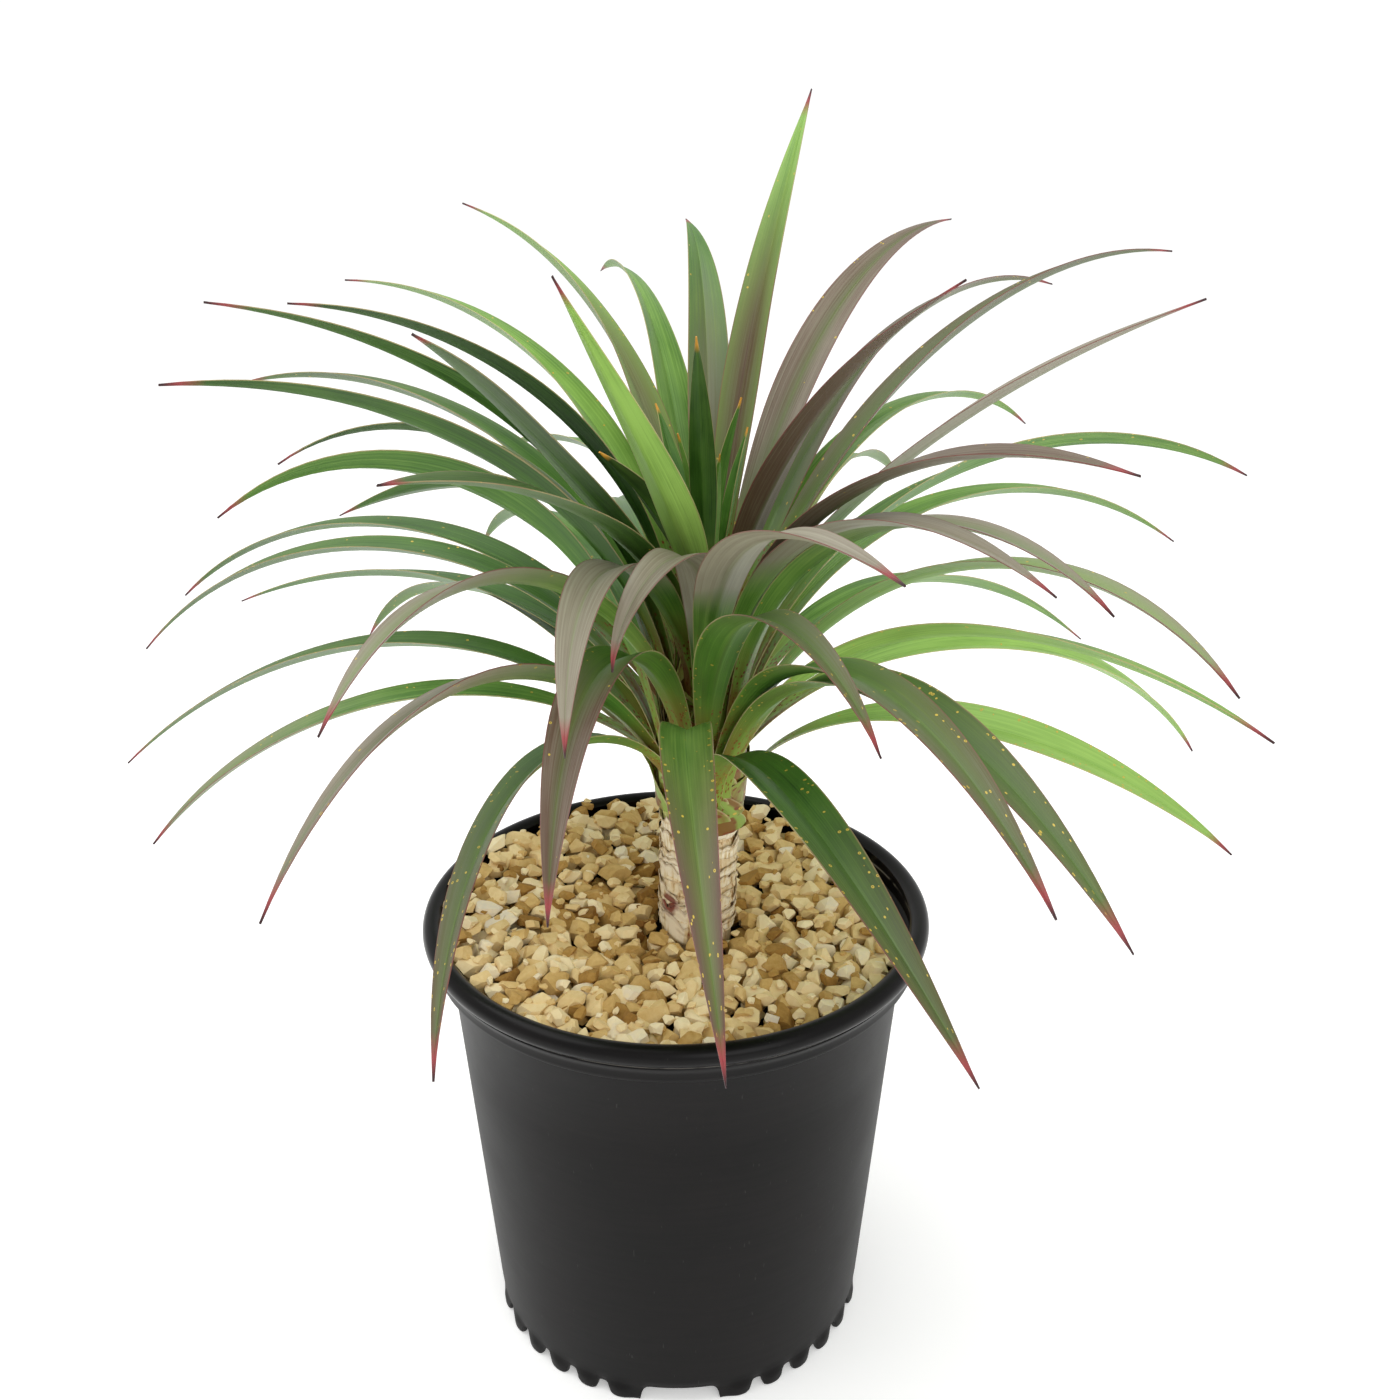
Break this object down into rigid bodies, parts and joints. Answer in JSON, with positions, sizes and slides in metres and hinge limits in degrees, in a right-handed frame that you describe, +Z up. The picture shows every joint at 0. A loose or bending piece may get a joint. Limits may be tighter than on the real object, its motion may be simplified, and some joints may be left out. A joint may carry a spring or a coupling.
{
  "type": "potted yucca",
  "caption": "Young plant with a ringed stem and a crown of arching sword leaves, in a round nursery pot topped with gravel.",
  "frame": {"origin": "on the ground under the middle of the pot", "axes": "+Z up along the pot's axis; -Y is the side that the picture looks at, from above; +X is to its right"},
  "size_m": [0.5089, 0.5451, 0.5567],
  "materials": {
    "pot_plastic": "satin black moulded plastic with a shinier rolled rim",
    "potting_mix": "damp, crumbly and matte",
    "gravel": "dry crushed buff stone, matte",
    "stem_bark": "dry pale bark with papery leaf scars",
    "leaf": "smooth waxy green leaf with a soft sheen",
    "young_leaf": "fresh yellow-green leaf with a soft sheen"
  },
  "bodies": {
    "root": {"pot": "pot_plastic", "potting_mix": "potting_mix", "gravel": "gravel", "trunk": "stem_bark", "young_leaves": "young_leaf", "leaf_left_01": "leaf", "leaf_left_02": "leaf", "leaf_left_03": "leaf", "leaf_left_04": "leaf", "leaf_left_05": "leaf", "leaf_left_06": "leaf", "leaf_left_07": "leaf", "leaf_left_08": "leaf", "leaf_left_09": "leaf", "leaf_left_10": "leaf", "leaf_left_11": "leaf", "leaf_left_12": "leaf", "leaf_left_13": "leaf", "leaf_left_14": "leaf", "leaf_left_15": "leaf", "leaf_left_16": "leaf", "leaf_left_17": "leaf", "leaf_left_18": "leaf", "leaf_left_19": "leaf", "leaf_left_20": "leaf", "leaf_left_21": "leaf", "leaf_left_22": "leaf", "leaf_left_23": "leaf", "leaf_front_01": "leaf", "leaf_front_02": "leaf", "leaf_right_01": "leaf", "leaf_right_02": "leaf", "leaf_right_03": "leaf", "leaf_right_05": "leaf", "leaf_right_06": "leaf", "leaf_right_07": "leaf", "leaf_right_08": "leaf", "leaf_right_09": "leaf", "leaf_right_10": "leaf", "leaf_right_11": "leaf", "leaf_right_12": "leaf", "leaf_right_13": "leaf", "leaf_right_14": "leaf", "leaf_right_15": "leaf", "leaf_right_16": "leaf", "leaf_right_17": "leaf", "leaf_right_18": "leaf", "leaf_right_19": "leaf", "leaf_right_20": "leaf", "leaf_right_21": "leaf", "leaf_top_01": "leaf", "leaf_top_02": "leaf", "leaf_top_03": "leaf", "leaf_back_01": "leaf", "leaf_back_02": "leaf", "leaf_back_03": "leaf", "leaf_back_04": "leaf", "leaf_back_05": "leaf", "leaf_back_06": "leaf"}
  },
  "joints": []
}
